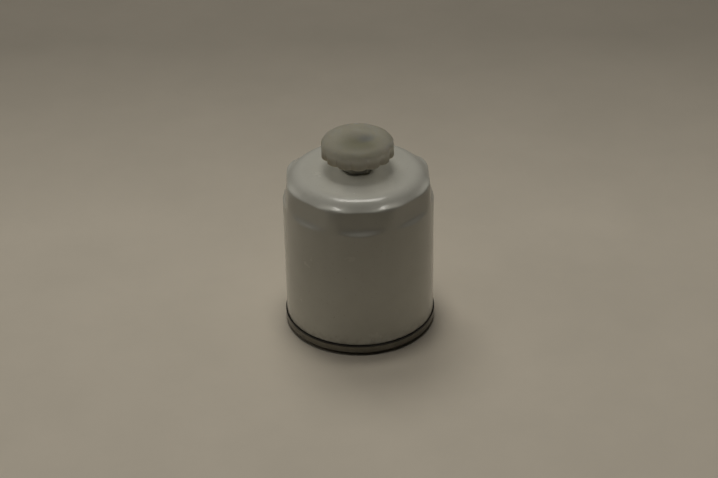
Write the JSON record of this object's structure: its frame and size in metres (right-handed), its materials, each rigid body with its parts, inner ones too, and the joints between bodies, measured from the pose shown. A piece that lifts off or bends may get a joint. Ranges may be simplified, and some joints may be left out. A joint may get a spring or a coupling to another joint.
{
  "type": "oil filter",
  "caption": "Spin-on filter canister with wrench flats on its shoulder, a rolled seam, a sealing gasket and a scalloped drain knob on its closed end.",
  "frame": {"origin": "centre of the gasket's lower face, on the filter's axis", "axes": "+Z along the axis from the open gasket end to the closed end with the drain knob; a wrench flat faces -Y"},
  "size_m": [0.0772, 0.0772, 0.1052],
  "materials": {
    "white_paint": "gloss white enamel",
    "dark_steel": "rolled bare steel, dulled",
    "bare_steel": "bare pressed steel",
    "spring_steel": "drawn wire",
    "black_rubber": "moulded",
    "red_rubber": "moulded",
    "filter_paper": "pleated resin paper",
    "plastisol": "cured potting",
    "nylon": "natural nylon, satin"
  },
  "bodies": {
    "filter_shell": {"can": "white_paint", "seam_lid": "dark_steel", "mount_gasket": "black_rubber", "base_plate": "bare_steel", "anti_drain_flap": "red_rubber", "element_seal": "black_rubber", "lower_end_cap": "bare_steel", "lower_potting": "plastisol", "centre_tube": "bare_steel", "pleated_media": "filter_paper", "media_seam_clip": "bare_steel", "upper_potting": "plastisol", "upper_end_cap": "bare_steel", "bypass_cage": "bare_steel", "bypass_spring": "spring_steel", "spring_seat": "bare_steel", "element_spring": "spring_steel", "drain_body": "dark_steel", "drain_outer_washer": "nylon", "drain_inner_washer": "bare_steel", "drain_lock_nut": "bare_steel"},
    "drain_rings": {"stem_o_ring": "black_rubber", "seat_o_ring": "black_rubber"},
    "drain_knob_turning": {"drain_knob": "nylon"},
    "bypass_poppet": {"bypass_disc": "bare_steel", "bypass_seal": "black_rubber"}
  },
  "joints": [
    {"name": "drain_lift", "type": "slide", "parent": "filter_shell", "child": "drain_rings", "axis": [0, 0, 1], "range_m": [0, 0.004]},
    {"name": "drain_turn", "type": "hinge", "parent": "drain_rings", "child": "drain_knob_turning", "pos_m": [0, 0, 0.0952], "axis": [0, 0, 1], "range_deg": [0, 720]},
    {"name": "bypass_slide", "type": "slide", "parent": "filter_shell", "child": "bypass_poppet", "axis": [0, 0, -1], "range_m": [0, 0.003], "stiffness_N_per_m": 3000, "springref_m": -0.0044, "deforming": ["bypass_spring"]}
  ],
  "couplings": [
    {"joint": "drain_lift", "follows": "drain_turn", "m_per_rad": 0.00031831}
  ]
}
